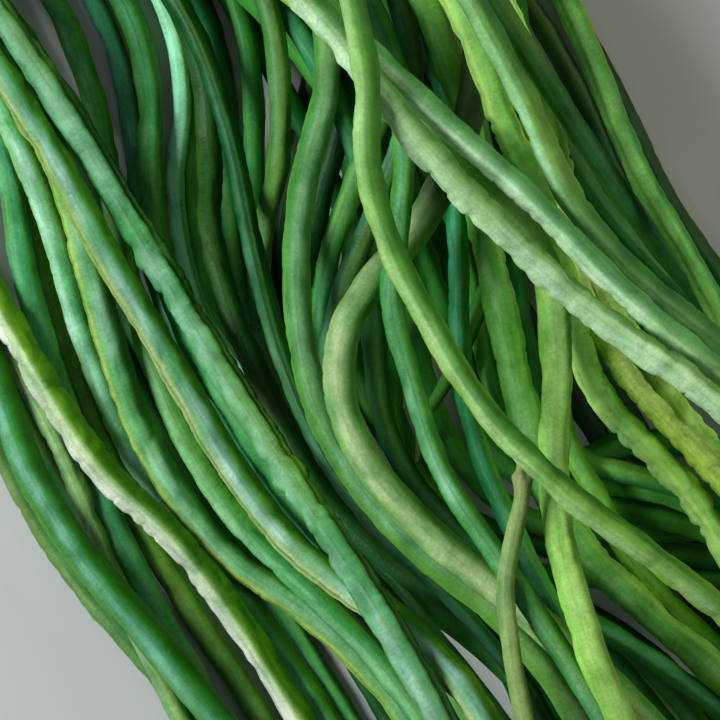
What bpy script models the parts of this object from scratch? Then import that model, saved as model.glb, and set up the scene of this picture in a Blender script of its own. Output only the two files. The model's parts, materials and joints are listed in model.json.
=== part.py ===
# A loose bunch of freshly picked yardlong beans, lying down.
# Each pod is one object: a long tapered tube that starts at its cut stalk, swells over the calyx,
# runs the length of the pod with a slight bulge at its seeds, and ends in a thin beak.
# Units are metres. +Z is up, and the bunch lies along +X with its stalks at -X.

import math
import random

import bmesh
import bpy
import numpy as np

MM = 0.001

# The whole bunch
FLOW_DEG = -57.0  # the way the pods run in the plan below, from stalk to beak
STALK_REACH = 218 * MM  # from the middle of the bunch to the stalks, along the flow
BEAK_REACH = 240 * MM  # from the middle of the bunch to the beaks
REACH_SPREAD = 30 * MM  # how unevenly the pods' ends lie
STALK_GATHER = 0.80  # how far the stalks are drawn together, against the middle
BEAK_GATHER = 0.92
SIDE_CHOICES = [side * MM for side in (0, -5, 5, -10, 10, -15, 15, -20, 20)]
SIDE_COST = 0.12  # height that a pod would rather take than lie this much further aside
SLIP_LOW, SLIP_TOP = 4.5 * MM, 0.5 * MM  # how far aside the first and the last pod may slip
SLIP_COST = 0.15
SLIP_STIFFNESS = 60.0
STALK_TURN_DEG = 9
BEAK_TURN_DEG = 24
SEED = 41

# One pod
STALK_LENGTH = 9 * MM
STALK_RADIUS = 1.4 * MM
CALYX_RADIUS = 2.5 * MM
NECK_RADIUS = 1.9 * MM
SHOULDER_LENGTH = 26 * MM
BEAK_LENGTH = 38 * MM
BEAK_RADIUS = 0.7 * MM
SEED_BULGE = 0.05  # share of the radius
SHARPEST_LIFT = 70 * MM  # radius of the hump in which a pod rises over another

# How finely a pod is drawn
SIDES_SETTING = 1  # a curve's bevel resolution: 1 makes six sides
FINE_STEP = 2.5 * MM
TRACE_SOFTEN = 7 * MM
RING_SPACING = 44 * MM
BEND_RING_SPACING = 0.42  # radians that the pod turns between two rings
GAP = 0.35 * MM  # between one pod and the next
SETTLE_WINDOW = 9 * MM
REST_BAND = 0.45 * MM  # an underside this low lies flat on the table
WELD = 0.01 * MM

# The plan, from above, in millimetres: x to the right, y up, the middle of the bunch at 0, 0.
# The pods are listed in the order in which they lie, the lowest first. Each has its radius and
# the points of its route through the middle of the bunch, from the stalk's side to the beak's.
PODS = {
    "pod_59": (3.0, [
        (-76, 61), (-72.5, 54), (-68.5, 45), (-65, 36), (-62.5, 26), (-60.5, 16), (-57.5, 6),
        (-51.5, -5), (-44, -16), (-37, -27), (-29, -38), (-21, -48),
    ]),
    "pod_60": (2.9, [
        (-14, 62), (-16.5, 54), (-18.5, 42), (-20, 30), (-20, 18), (-18.5, 8), (-15, -4), (-9, -17),
        (-1, -29), (9, -40), (21, -50),
    ]),
    "pod_01": (2.9, [(16, 50), (30, 29), (44, 7), (56, -12), (68, -32), (80, -52)]),
    "pod_02": (2.9, [(26, 53), (40, 32), (54, 10), (66, -9), (77, -29), (89, -49)]),
    "pod_03": (3.0, [(-97, 6), (-87, -10), (-79, -24), (-71, -38), (-63, -52)]),
    "pod_04": (3.0, [(-16, 62), (-9, 48), (-3, 34), (2, 20), (4, 4), (8, -12), (14, -28), (22, -44)]),
    "pod_05": (3.0, [(-76, 34), (-68, 16), (-60, 0), (-50, -16), (-41, -32), (-30, -48)]),
    "pod_06": (2.9, [(38, 56), (52, 36), (66, 18), (78, 4), (92, -12)]),
    "pod_07": (3.2, [
        (-34, 60), (-34, 42), (-32, 25), (-29, 7), (-24, -9), (-15, -25), (-4, -40), (10, -50), (25, -57),
    ]),
    "pod_08": (3.0, [
        (-26, 57), (-27, 41), (-26, 25), (-22, 7), (-17, -7), (-9, -21), (3, -35), (17, -46), (35, -55),
    ]),
    "pod_09": (3.0, [(61, 56), (66, 44), (73, 29), (80, 18), (88, 9)]),
    "pod_10": (3.3, [(26, 18), (34, -8), (42, -22), (50, -28), (59, -25), (66, -21), (76, -20), (90, -24)]),
    "pod_11": (2.6, [
        (8, 30), (8, 8), (8, -4), (8, -16), (10, -31), (17, -42), (27, -50), (40, -54), (55, -56),
        (70, -56), (86, -55),
    ]),
    "pod_12": (3.3, [
        (-1, 28), (-2, 8), (0, 1), (2, -5), (6, -15), (10, -25), (17, -35), (27, -43), (40, -48),
        (54, -50), (69, -51), (86, -51), (100, -52),
    ]),
    "pod_13": (3.2, [
        (15, 24), (14, 5), (16, -5), (20, -17), (24, -24), (31, -34), (40, -41), (50, -45), (60, -46),
        (69, -46), (86, -45), (100, -47),
    ]),
    "pod_14": (3.3, [(20, 12), (25, -8), (32, -22), (44, -33), (57, -37), (68, -39), (78, -41), (90, -44)]),
    "pod_15": (2.8, [(27, 14), (31, -5), (36, -17), (46, -28), (63, -34), (72, -35), (80, -38), (90, -42)]),
    "pod_16": (2.8, [
        (38, 27), (40, 15), (42, 0), (44, -12), (49, -22), (59, -29), (66, -31), (74, -32), (86, -36),
        (98, -41),
    ]),
    "pod_17": (3.0, [
        (-58, 62), (-57, 52), (-56, 40), (-52, 22), (-46, 5), (-40, -9), (-31, -22), (-24, -34),
        (-16, -44), (-7, -52),
    ]),
    "pod_18": (3.2, [
        (-81, 30), (-79, 17), (-74, 2), (-69, -12), (-64, -25), (-58, -39), (-53, -48), (-47, -57),
    ]),
    "pod_19": (3.2, [(-90, -24), (-86, -33), (-79, -43), (-74, -53), (-67, -60)]),
    "pod_20": (2.9, [
        (-4, 57), (-8, 42), (-12, 28), (-14, 14), (-14, 2), (-11, -10), (-3, -24), (9, -37), (24, -48),
        (42, -56),
    ]),
    "pod_21": (3.1, [
        (1, 30), (1, 12), (4, -8), (8, -22), (13, -29), (19, -37), (27, -46), (36, -53), (47, -60),
    ]),
    "pod_22": (2.6, [
        (40, 65), (37, 45), (35, 27), (30, 10), (24, -2), (20, -9), (16, -15), (13, -21), (12, -25),
    ]),
    "pod_23": (2.7, [
        (-41.5, 57), (-42.5, 44), (-39.5, 25), (-37, 12), (-32, 1), (-25, -11), (-17, -24), (-9, -35),
        (-2, -45), (10, -55),
    ]),
    "pod_24": (2.8, [
        (-43.5, 57), (-45.5, 42), (-43.5, 30), (-41.5, 20), (-39, 10), (-31, -2), (-24, -15), (-16, -29),
        (-6, -41), (3, -51), (10, -59),
    ]),
    "pod_25": (3.1, [
        (-19, 65), (-20, 52), (-22, 40), (-25, 27), (-26, 15), (-24, 2), (-19, -12), (-10, -26), (2, -40),
        (20, -50), (40, -57),
    ]),
    "pod_26": (3.1, [
        (3, 57), (-1, 47), (-5, 36), (-8, 28), (-10, 20), (-11, 10), (-11, 0), (-9, -10), (-2, -25),
        (9, -38), (22, -49), (40, -57),
    ]),
    "pod_27": (2.9, [(70, 58), (74, 50), (78, 41), (84, 31), (92, 20)]),
    "pod_28": (3.3, [(49, 58), (55, 47), (63, 37), (72, 27), (80, 18), (88, 11)]),
    "pod_29": (3.1, [
        (23, 58), (24, 45), (24, 30), (25, 15), (25, 2), (26, -10), (29, -22), (33, -33), (37, -41),
        (42, -50), (46, -57),
    ]),
    "pod_30": (3.6, [
        (-87, 44), (-85, 30), (-82, 17), (-78, 1), (-73, -9), (-69, -22), (-65, -36), (-59, -50),
        (-54, -60),
    ]),
    "pod_31": (2.9, [
        (-92, 8), (-85, -5), (-80, -14), (-74, -24), (-70, -32), (-67, -39), (-64, -48), (-60, -57),
    ]),
    "pod_32": (3.7, [
        (-52, 57), (-52, 41), (-49, 27), (-44, 12), (-36, -4), (-27, -17), (-17, -31), (-9, -42),
        (-2, -50), (5, -57),
    ]),
    "pod_33": (3.1, [
        (-38, 57), (-38, 36), (-35, 19), (-30, 8), (-25, -1), (-20, -11), (-17, -19), (-12, -27),
        (-5, -37), (4, -46), (16, -55),
    ]),
    "pod_34": (3.1, [
        (8, 50), (3, 38), (-1, 27), (-4, 20), (-7, 13), (-8, 7), (-9, 0), (-8, -10), (-3, -22), (6, -34),
        (18, -46), (34, -56),
    ]),
    "pod_35": (3.0, [
        (50.5, 50), (54.5, 36), (59.5, 22), (65.5, 10), (71.5, 0), (77.5, -10), (80.5, -16), (84.5, -19),
        (89.5, -24),
    ]),
    "pod_36": (3.1, [
        (46, 52), (50, 38), (54, 25), (57, 15), (60, 8), (63, 1), (67, -3), (72, -9), (77, -14),
        (82, -20), (88, -27),
    ]),
    "pod_37": (2.9, [
        (46, 20), (47, 5), (49, -12), (53, -24), (55, -29), (59, -34), (63, -39), (68, -51), (73, -56),
    ]),
    "pod_38": (4.1, [
        (25, 60), (27, 47), (29, 39), (31, 30), (34, 18), (36, 9), (38, 2), (41, -7), (42, -15),
        (44, -24), (50, -38), (59, -50), (70, -60),
    ]),
    "pod_39": (3.0, [(53, 57), (58, 49), (65, 41), (72, 31), (79, 22), (87, 14)]),
    "pod_40": (3.2, [
        (-87, 55), (-82, 45), (-77, 30), (-75, 19), (-69, 2), (-64, -11), (-57, -25), (-50, -36),
        (-41, -47), (-33, -56),
    ]),
    "pod_41": (3.8, [
        (-77, 52), (-73, 40), (-70, 30), (-69, 25), (-66.5, 14), (-63, 3), (-59, -11), (-54, -22),
        (-47.5, -33), (-39.5, -44), (-31, -52), (-23, -57),
    ]),
    "pod_42": (3.4, [
        (-66, 57), (-65, 50), (-63, 40), (-60, 25), (-57, 12), (-54, 0), (-50, -9), (-45, -20),
        (-39, -30), (-32, -40), (-24, -49), (-17, -55),
    ]),
    "pod_43": (2.9, [
        (-33, 57), (-30, 44), (-27, 30), (-24, 17), (-20, 2), (-15, -10), (-9, -22), (-1, -34), (9, -45),
        (20, -55),
    ]),
    "pod_44": (3.4, [
        (-10, 57), (-13, 46), (-15, 36), (-15, 22), (-15, 11), (-14, 0), (-12, -11), (-6, -22), (2, -35),
        (14, -47), (26, -56),
    ]),
    "pod_45": (3.9, [
        (24, 52), (19, 41), (13, 31), (5, 22), (1, 18), (-3, 12), (-5, 6), (-6, 0), (-6, -7), (-5, -14),
        (-2, -20), (0, -24), (7, -34), (17, -43), (25, -50), (33, -56),
    ]),
    "pod_46": (3.3, [
        (11, 57), (11, 41), (9, 30), (7, 20), (9, 6), (12, -3), (15, -15), (19, -26), (25, -37),
        (32, -47), (38, -55),
    ]),
    "pod_47": (2.6, [(39.5, -19), (40, -29), (39, -36), (37, -45), (35, -56), (38, -75)]),
    "pod_48": (3.5, [(65, 58), (69, 47), (75, 36), (82, 25), (86, 19), (91, 10)]),
    "pod_49": (3.8, [
        (34, 62), (36, 55), (40, 48), (44, 42), (48, 32), (51, 17), (54, 6), (57, -5), (61, -12),
        (67, -17), (72, -23), (76, -27), (82, -32), (86, -38),
    ]),
    "pod_50": (4.0, [
        (17, 57), (24, 49), (33, 41), (39, 36), (43, 30), (46, 23), (48, 15), (49, 5), (49, -7),
        (48, -19), (47, -29), (48, -39), (49, -47), (51, -55),
    ]),
    "pod_51": (3.8, [
        (43, 57), (47, 49), (50, 42), (53, 36), (57, 31), (63, 25), (70, 20), (78, 13), (88, 5),
    ]),
    "pod_52": (4.2, [(-88, -14), (-85, -23), (-80, -34), (-74, -44), (-66, -53), (-61, -59)]),
    "pod_53": (3.6, [
        (-80, 57), (-74, 47), (-69, 37), (-62, 23), (-55, 12), (-48, 0), (-42, -11), (-38, -18),
        (-32, -27), (-24, -38), (-16, -47), (-9, -53), (0, -58),
    ]),
    "pod_54": (4.3, [
        (-70, 57), (-63, 46), (-59, 37), (-52, 27), (-47, 18), (-41, 9), (-36, 1), (-30, -8), (-26, -15),
        (-20, -24), (-15, -31), (-9, -40), (-5, -47), (0, -54), (5, -61),
    ]),
    "pod_55": (4.4, [
        (-87, 6), (-83, -2), (-75, -13), (-69, -23), (-60, -33), (-51, -41), (-42, -49), (-36, -57),
    ]),
    "pod_56": (3.7, [
        (21, 57), (27, 52), (33, 47), (39, 42), (44, 37), (50, 31), (56, 25), (62, 20), (71, 11), (80, 4),
        (89, -3),
    ]),
    "pod_57": (3.9, [
        (13, 56), (19, 48), (25, 42), (32, 35), (38, 28), (44, 22), (50, 17), (58, 11), (66, 5), (72, 1),
        (80, -4), (86, -9),
    ]),
    "pod_58": (3.8, [
        (2, 58), (2, 45), (6, 31), (11, 20), (18, 7), (24, -3), (30, -12), (41, -24), (52, -34),
        (67, -45), (82, -56),
    ]),
}
STARTS_AT_STALK = {"pod_47"}  # its stalk lies in the middle of the bunch
ENDS_AT_BEAK = {"pod_22"}  # its beak lies in the middle of the bunch


def clear_scene():
    for old in list(bpy.data.objects):
        bpy.data.objects.remove(old)


def unit(vector):
    return vector / np.linalg.norm(vector)


def bend_between(start, start_way, end, end_way, count=24):
    """Points of one cubic Bezier arc from start to end."""
    reach = np.linalg.norm(end - start) * 0.36
    handles = start + start_way * reach, end - end_way * reach
    t = np.linspace(0, 1, count)[:, None]
    return (
        (1 - t) ** 3 * start
        + 3 * (1 - t) ** 2 * t * handles[0]
        + 3 * (1 - t) * t**2 * handles[1]
        + t**3 * end
    )


def curve_through(points, per_span=8):
    """A Catmull-Rom curve through hand-drawn points."""
    ends = 2 * points[0] - points[1], 2 * points[-1] - points[-2]
    p = np.vstack([ends[0], points, ends[1]])
    t = np.linspace(0, 1, per_span, endpoint=False)[:, None]
    spans = [
        0.5
        * (
            2 * p[i + 1]
            + (p[i + 2] - p[i]) * t
            + (2 * p[i] - 5 * p[i + 1] + 4 * p[i + 2] - p[i + 3]) * t**2
            + (3 * p[i + 1] - p[i] - 3 * p[i + 2] + p[i + 3]) * t**3
        )
        for i in range(len(points) - 1)
    ]
    return np.vstack([*spans, points[-1]])


def along(points):
    """Distance from the first point to each point."""
    steps = np.linalg.norm(np.diff(points, axis=0), axis=1)
    return np.concatenate([[0], np.cumsum(steps)])


def read_at(distances, where, values):
    return np.column_stack([np.interp(where, distances, column) for column in values.T])


def evenly(points, step):
    s = along(points)
    count = max(8, round(s[-1] / step) + 1)
    return read_at(s, np.linspace(0, s[-1], count), points)


def softened(points, width, step):
    """A running mean of the points, whose two ends stay put."""
    widest = max(1, round(width / step))
    last = len(points) - 1
    inner = []
    for i in range(len(points)):
        half = min(widest, i, last - i)
        inner.append(points[i - half : i + half + 1].mean(axis=0))
    return np.array(inner)


def turned(points, degrees):
    c, d = math.cos(math.radians(degrees)), math.sin(math.radians(degrees))
    return points @ np.array([[c, d], [-d, c]])


def loose_end(start, way, out, gather, reach, turn_deg, radius, laid):
    """A pod's way from the drawn middle out to its free end. Of the places within reach of its own
    line, it takes the one where it lies lowest."""
    best, lowest = None, math.inf
    for side in SIDE_CHOICES:
        end = np.array([out * reach, start[1] * gather + side])
        arc = bend_between(start, way, end, turned(np.array([out, 0.0]), turn_deg))
        samples = evenly(arc, 2 * FINE_STEP)
        heights = lowest_clear(samples, np.full(len(samples), radius), laid)
        cost = heights.mean() + 0.5 * heights.max() + SIDE_COST * abs(side)
        if cost < lowest:
            best, lowest = arc, cost
    return best


def slipped_aside(route, radius, laid, reach):
    """The route, moved sideways by a little that changes smoothly, so that the pod lies as low
    between its neighbours as it can."""
    ways = np.gradient(route, axis=0)
    ways /= np.linalg.norm(ways, axis=1)[:, None]
    aside = np.column_stack([-ways[:, 1], ways[:, 0]])
    choices = np.linspace(-reach, reach, 9)
    radii = np.full(len(route), radius)
    height = [lowest_clear(route + aside * choice, radii, laid) for choice in choices]
    cost = np.array(height).T + SLIP_COST * np.abs(choices)
    change = SLIP_STIFFNESS * (choices[:, None] - choices[None, :]) ** 2
    total, came_from = cost[0], []
    for row in cost[1:]:
        ways_here = total[None, :] + change
        came_from.append(ways_here.argmin(axis=1))
        total = ways_here.min(axis=1) + row
    taken = [int(total.argmin())]
    for step in reversed(came_from):
        taken.append(int(step[taken[-1]]))
    moves = softened(choices[taken[::-1]][:, None], 4 * TRACE_SOFTEN, FINE_STEP)
    return route + aside * moves


def plan_route(name, radius, traced, laid, draw):
    """The pod's whole line seen from above, from stalk to beak, with the bunch along +X."""
    middle = curve_through(turned(np.array(traced, float) * MM, -FLOW_DEG))
    stalk_reach = STALK_REACH + draw.uniform(-1, 1) * REACH_SPREAD
    beak_reach = BEAK_REACH + draw.uniform(-1, 1) * REACH_SPREAD
    stalk_turn = draw.uniform(-1, 1) * STALK_TURN_DEG
    beak_turn = draw.uniform(-1, 1) * BEAK_TURN_DEG
    parts = [middle]
    if name not in STARTS_AT_STALK:
        way = unit(middle[0] - middle[2])
        stalk = loose_end(middle[0], way, -1, STALK_GATHER, stalk_reach, stalk_turn, radius, laid)
        parts = [stalk[:0:-1], *parts]
    if name not in ENDS_AT_BEAK:
        way = unit(middle[-1] - middle[-3])
        beak = loose_end(middle[-1], way, 1, BEAK_GATHER, beak_reach, beak_turn, radius, laid)
        parts = [*parts, beak[1:]]
    route = softened(evenly(np.vstack(parts), FINE_STEP), TRACE_SOFTEN, FINE_STEP)
    share = len(laid) / len(PODS)
    reach = SLIP_TOP + (SLIP_LOW - SLIP_TOP) * (1 - share) ** 2
    return evenly(slipped_aside(route, radius, laid, reach), FINE_STEP)


def ring_distances(route):
    """Where a pod has its rings: close together at its two shaped ends and round its bends."""
    s = along(route)
    ways = np.diff(route, axis=0)
    headings = np.unwrap(np.arctan2(ways[:, 1], ways[:, 0]))
    bends = np.concatenate([[0], np.abs(np.diff(headings)), [0]])
    cost = s / RING_SPACING + np.cumsum(bends) / BEND_RING_SPACING
    start = STALK_LENGTH + SHOULDER_LENGTH
    end = s[-1] - BEAK_LENGTH
    first, last = np.interp([start, end], s, cost)
    count = max(4, round(last - first))
    body = np.interp(np.linspace(first, last, count + 1), cost, s)
    stalk = np.array([0, 0.8, 1.05, 1.6]) * STALK_LENGTH
    neck = [STALK_LENGTH + 0.5 * SHOULDER_LENGTH]
    beak = s[-1] - BEAK_LENGTH * np.array([0.55, 0.22, 0.05])
    return np.concatenate([stalk, neck, body, beak])


def radius_at(s, length, radius, draw):
    """The pod's radius at distances s from the cut end of its stalk."""
    stops = [
        (0, STALK_RADIUS),
        (0.8 * STALK_LENGTH, STALK_RADIUS * 0.95),
        (1.05 * STALK_LENGTH, CALYX_RADIUS),
        (1.6 * STALK_LENGTH, NECK_RADIUS),
        (STALK_LENGTH + 0.5 * SHOULDER_LENGTH, 0.5 * (NECK_RADIUS + radius)),
        (STALK_LENGTH + SHOULDER_LENGTH, 0.92 * radius),
        (0.3 * length, radius),
        (0.7 * length, radius),
        (length - BEAK_LENGTH, 0.93 * radius),
        (length - 0.55 * BEAK_LENGTH, 0.74 * radius),
        (length - 0.22 * BEAK_LENGTH, 0.42 * radius),
        (length - 0.05 * BEAK_LENGTH, BEAK_RADIUS),
        (length, BEAK_RADIUS * 0.6),
    ]
    plain = np.interp(s, *np.array(stops).T)
    in_body = (s > STALK_LENGTH + SHOULDER_LENGTH) & (s < length - BEAK_LENGTH)
    swell = np.array([draw.uniform(-1, 1) for _ in s]) * SEED_BULGE
    return plain * (1 + swell * in_body)


def lowest_clear(samples, radii, laid):
    """The least height at which each sample of a pod clears the table and every pod laid before it."""
    heights = radii * math.cos(math.pi / 6)
    if not laid:
        return heights
    others = np.vstack(laid)
    for start in range(0, len(samples), 64):
        piece = slice(start, start + 64)
        apart = ((samples[piece, None] - others[None, :, :2]) ** 2).sum(axis=2)
        needed = (radii[piece, None] + others[None, :, 3] + GAP) ** 2
        rise = np.sqrt(np.clip(needed - apart, 0, None))
        touching = np.where(apart < needed, others[None, :, 2] + rise, 0)
        heights[piece] = np.maximum(heights[piece], touching.max(axis=1))
    return heights


def settled(heights, s):
    """The lowest line over those heights that is no sharper than a pod bends: it rises over
    what it crosses in a long hump, and sinks between."""
    drop = (s[:, None] - s[None, :]) ** 2 / (2 * SHARPEST_LIFT)
    humps = (heights[None, :] - drop).max(axis=1)
    near = np.abs(s[:, None] - s[None, :]) <= SETTLE_WINDOW
    highest = np.where(near, humps[None, :], 0).max(axis=1)
    weights = near * (1 + np.cos(np.pi * (s[:, None] - s[None, :]) / SETTLE_WINDOW)) + 1e-9 * near
    return (weights @ highest) / weights.sum(axis=1)


def lay_pod(name, radius, traced, laid, draw):
    """Ring centres and radii of one pod, laid on the pods before it. Adds the pod to laid."""
    route = plan_route(name, radius * MM, traced, laid, draw)
    s = along(route)
    where = ring_distances(route)
    centres = read_at(s, where, route)
    radii = radius_at(where, s[-1], radius * MM, draw)
    centres = np.vstack([centres, route[-1]])
    radii = np.append(radii, BEAK_RADIUS * 0.6)
    ring_s = along(centres)
    fine_s = np.linspace(0, ring_s[-1], max(20, round(ring_s[-1] / FINE_STEP)))
    fine = read_at(ring_s, fine_s, centres)
    fine_radii = np.interp(fine_s, ring_s, radii)
    floor = lowest_clear(fine, fine_radii, laid)
    heights = np.interp(ring_s, fine_s, settled(floor, fine_s))
    short = np.clip(floor - np.interp(fine_s, ring_s, heights), 0, None)
    for i, distance in enumerate(ring_s):
        before, after = ring_s[max(0, i - 1)], ring_s[min(len(ring_s) - 1, i + 1)]
        span = (fine_s >= before) & (fine_s <= after)
        heights[i] += short[span].max() if span.any() else 0
    laid.append(np.column_stack([fine, np.interp(fine_s, ring_s, heights), fine_radii]))
    return np.column_stack([centres, heights]), radii


def pod_curve(name, centres, radii):
    """The pod as a curve with a round section, closed to a point at both ends."""
    line = bpy.data.curves.new(name + "_line", "CURVE")
    line.dimensions = "3D"
    line.twist_mode = "Z_UP"
    line.bevel_depth = MM
    line.bevel_resolution = SIDES_SETTING
    line.use_fill_caps = True
    tips = np.array([
        centres[0] - 0.3 * MM * unit(centres[1] - centres[0]),
        centres[-1] + 0.5 * MM * unit(centres[-1] - centres[-2]),
    ])
    points = np.vstack([tips[0], centres, tips[1]])
    spline = line.splines.new("POLY")
    spline.points.add(len(points) - 1)
    for point, place, radius in zip(spline.points, points, [0, *radii, 0]):
        point.co = (*place, 1)
        point.radius = radius / MM
    return bpy.data.objects.new(name + "_line", line)


def pod_material():
    skin = bpy.data.materials.new("pod_skin")
    skin.use_nodes = True
    shader = skin.node_tree.nodes["Principled BSDF"]
    shader.inputs["Base Color"].default_value = (0.13, 0.33, 0.07, 1)
    shader.inputs["Roughness"].default_value = 0.5
    shader.inputs["Metallic"].default_value = 0
    return skin


def solid_from(line, collection, skin, name):
    """A closed mesh from the curve, with its underside flat where it lies on the table."""
    collection.objects.link(line)
    graph = bpy.context.evaluated_depsgraph_get()
    mesh = bpy.data.meshes.new_from_object(line.evaluated_get(graph))
    old = line.data
    bpy.data.objects.remove(line)
    bpy.data.curves.remove(old)
    shape = bmesh.new()
    shape.from_mesh(mesh)
    bmesh.ops.remove_doubles(shape, verts=shape.verts, dist=WELD)
    for vertex in shape.verts:
        if vertex.co.z < REST_BAND:
            vertex.co.z = 0
    bmesh.ops.recalc_face_normals(shape, faces=shape.faces)
    shape.to_mesh(mesh)
    shape.free()
    mesh.shade_smooth()
    mesh.materials.clear()
    mesh.materials.append(skin)
    pod = bpy.data.objects.new(name, mesh)
    collection.objects.link(pod)
    return pod


def main():
    clear_scene()
    bunch = bpy.data.collections.new("yardlong_bean_bunch")
    bpy.context.scene.collection.children.link(bunch)
    skin = pod_material()
    draw = random.Random(SEED)
    laid, pods = [], {}
    for name, (radius, traced) in PODS.items():
        pods[name] = lay_pod(name, radius, traced, laid, draw)
    lines = {name: pod_curve(name, centres, radii) for name, (centres, radii) in pods.items()}
    made = [solid_from(line, bunch, skin, name) for name, line in lines.items()]
    corners = np.array([vertex.co for pod in made for vertex in pod.data.vertices])
    middle = (corners.min(axis=0) + corners.max(axis=0)) / 2
    for pod in made:
        for vertex in pod.data.vertices:
            vertex.co.x -= middle[0]
            vertex.co.y -= middle[1]


main()
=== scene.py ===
import json
import math

import bpy
import numpy as np
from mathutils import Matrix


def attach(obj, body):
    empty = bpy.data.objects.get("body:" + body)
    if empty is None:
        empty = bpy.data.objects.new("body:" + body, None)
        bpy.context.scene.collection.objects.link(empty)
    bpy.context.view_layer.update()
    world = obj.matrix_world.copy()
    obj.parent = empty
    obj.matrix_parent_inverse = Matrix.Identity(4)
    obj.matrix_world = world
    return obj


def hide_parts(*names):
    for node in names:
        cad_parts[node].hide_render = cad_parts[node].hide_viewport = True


mm = 0.001


def stage(text):
    print("stage:", text, flush=True)


# A point turned about the origin: x cos - y sin, and x sin + y cos.
def turned(x, y, degrees):
    c, s = math.cos(math.radians(degrees)), math.sin(math.radians(degrees))
    return x * c - y * s, x * s + y * c


# The camera looks straight down on the middle of the heap, turned so that the pods run from their
# stalks at the picture's upper left to their beaks at its lower right. The last two lengths are
# half of the rectangle in which skins are fine.
view = {
    "middle": (-10.61 * mm, -6.05 * mm, 30 * mm),
    "turn": 57.0,
    "distance": 1.8,
    "width": 180 * mm,
    "sensor": 36,
    "clipStart": 0.05,
    "seenHalfWidth": 91 * mm,
    "seenHalfHeight": 63 * mm,
}


# The lens is the sensor's width times the camera's distance, over the width that it sees.
def makeCamera():
    data = bpy.data.cameras.new("camera")
    data.sensor_width = view["sensor"]
    data.lens = view["sensor"] * view["distance"] / view["width"]
    data.clip_start = view["clipStart"]
    camera = bpy.data.objects.new("camera", data)
    x, y, z = view["middle"]
    camera.location = (x, y, z + view["distance"])
    camera.rotation_euler = (0, 0, math.radians(view["turn"]))
    bpy.context.scene.collection.objects.link(camera)
    bpy.context.scene.camera = camera


ground = {"half": 3.0, "colour": (0.62, 0.63, 0.62, 1), "roughness": 0.9}


# A wide square at height 0.
def makeFloor():
    half = ground["half"]
    corners = [(-half, -half, 0), (half, -half, 0), (half, half, 0), (-half, half, 0)]
    mesh = bpy.data.meshes.new("floor")
    mesh.from_pydata(corners, [], [(0, 1, 2, 3)])
    floor = bpy.data.objects.new("floor", mesh)
    paint = bpy.data.materials.new("floorPaint")
    paint.use_nodes = True
    shader = paint.node_tree.nodes["Principled BSDF"]
    shader.inputs["Base Color"].default_value = ground["colour"]
    shader.inputs["Roughness"].default_value = ground["roughness"]
    mesh.materials.append(paint)
    bpy.context.scene.collection.objects.link(floor)


# Square lights. "left" and "top" are metres from the heap's middle towards the picture's left and
# top, and "height" is metres above the floor. The strong one gives the pods their lit side.
lights = {
    "window": {
        "left": 1.0, "top": 0.05, "height": 1.0,
        "size": 0.7, "power": 19.5, "colour": (0.95, 0.98, 1.0),
    },
    "room": {
        "left": -1.0, "top": 0.3, "height": 0.5,
        "size": 1.0, "power": 6, "colour": (1.0, 0.98, 0.84),
    },
    "ceiling": {
        "left": 0.1, "top": 0.7, "height": 1.6,
        "size": 0.9, "power": 1.5, "colour": (0.94, 1.0, 0.97),
    },
}
sky = {"colour": (0.80, 0.90, 1.0, 1), "strength": 0.02}


# A light aims at the heap's middle: it is tipped by the angle whose tangent is the flat distance
# over the drop, and turned to face along that distance.
def addLight(name, lamp):
    data = bpy.data.lights.new(name, "AREA")
    data.shape = "SQUARE"
    data.size = lamp["size"]
    data.energy = lamp["power"]
    data.color = lamp["colour"]
    light = bpy.data.objects.new(name, data)
    dx, dy = turned(-lamp["left"], lamp["top"], view["turn"])
    light.location = (view["middle"][0] + dx, view["middle"][1] + dy, lamp["height"])
    aim = np.array(view["middle"]) - np.array(light.location)
    tip = math.atan2(math.hypot(aim[0], aim[1]), -aim[2])
    light.rotation_euler = (tip, 0, math.atan2(aim[1], aim[0]) - math.pi / 2)
    bpy.context.scene.collection.objects.link(light)


def makeLights():
    for name, lamp in lights.items():
        addLight(name, lamp)
    world = bpy.data.worlds.new("world")
    world.use_nodes = True
    background = world.node_tree.nodes["Background"]
    background.inputs["Color"].default_value = sky["colour"]
    background.inputs["Strength"].default_value = sky["strength"]
    bpy.context.scene.world = world
    bpy.context.scene.view_settings.view_transform = "Standard"


# How a pod's line is read from its solid: points nearer than "merge" are one, every ring has
# "ringPoints" points, and the smooth line has a point at every "step".
reading = {"merge": 0.02 * mm, "ringPoints": 6, "startTries": 12, "step": 0.5 * mm}


# The solid's points with doubles merged, and its triangles.
def mergedMesh(node):
    data = node.data
    points = np.empty(len(data.vertices) * 3)
    data.vertices.foreach_get("co", points)
    data.calc_loop_triangles()
    triangles = np.empty(len(data.loop_triangles) * 3, int)
    data.loop_triangles.foreach_get("vertices", triangles)
    points = points.reshape(-1, 3)
    cells = np.round(points / reading["merge"])
    _, first, index = np.unique(cells, axis=0, return_index=True, return_inverse=True)
    return points[first], index.reshape(-1)[triangles].reshape(-1, 3)


# Rings of points round a pod: each ring is all neighbours of the one before that are in no ring
# yet.
def levelsFrom(start, neighbours):
    levels, seen = [[start]], {start}
    while levels[-1]:
        near = sorted({other for point in levels[-1] for other in neighbours[point]} - seen)
        seen.update(near)
        levels.append(near)
    return levels[:-1]


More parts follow.
